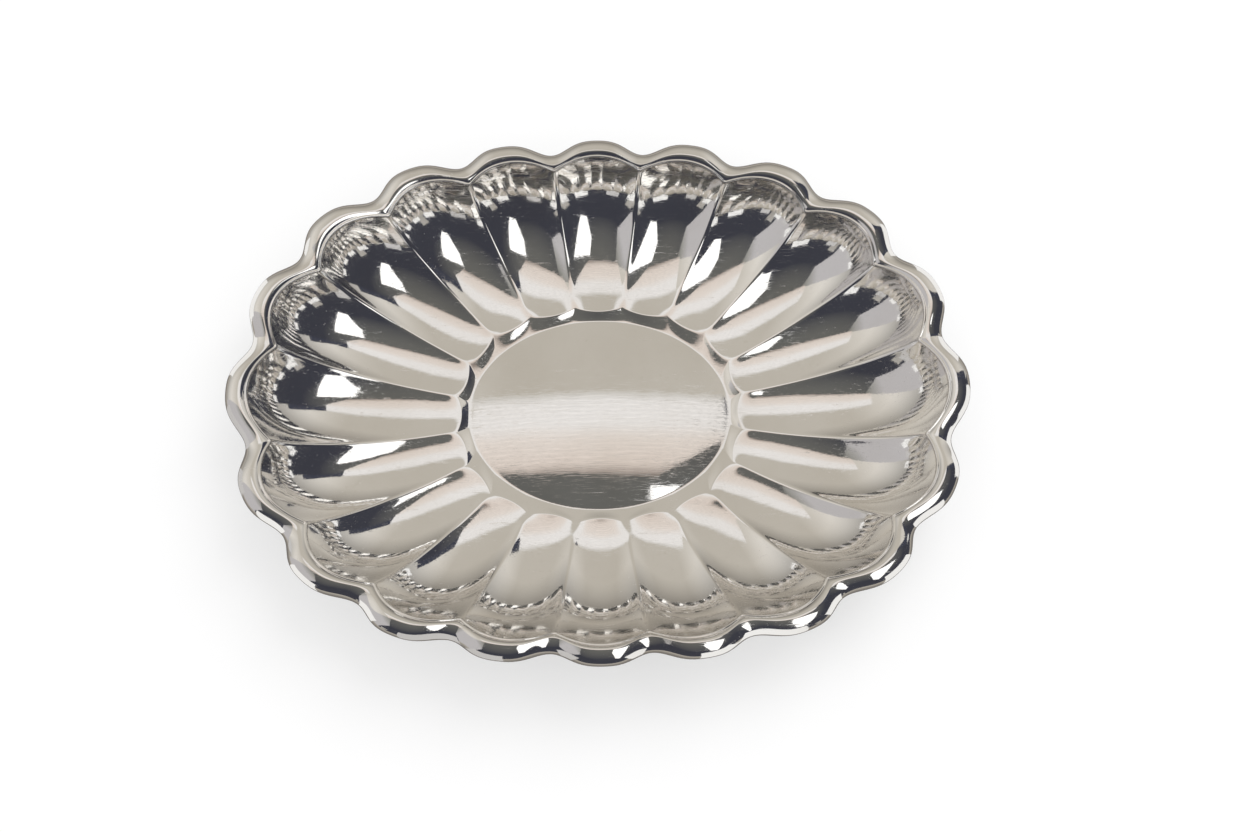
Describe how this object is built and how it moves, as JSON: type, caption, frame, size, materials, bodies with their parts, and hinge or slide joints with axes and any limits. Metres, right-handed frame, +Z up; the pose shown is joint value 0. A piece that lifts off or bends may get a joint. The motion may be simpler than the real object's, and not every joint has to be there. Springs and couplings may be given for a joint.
{
  "type": "offering plate",
  "caption": "Shallow oval offering plate in polished silver plate, with rounded radial flutes, a scalloped rolled border and a plain crowned middle panel.",
  "frame": {"origin": "on the resting plane, under the middle of the oval", "axes": "+X along the long axis, +Y along the short axis, +Z up out of the open face"},
  "size_m": [0.3142, 0.2318, 0.0427],
  "materials": {
    "silver_dish": "polished silver plate with fine polishing scratches",
    "silver_border": "polished silver plate",
    "border_wire": "drawn wire, unplated"
  },
  "bodies": {
    "root": {"fluted_dish": "silver_dish", "rim_border": "silver_border", "rim_wire": "border_wire"}
  },
  "joints": []
}
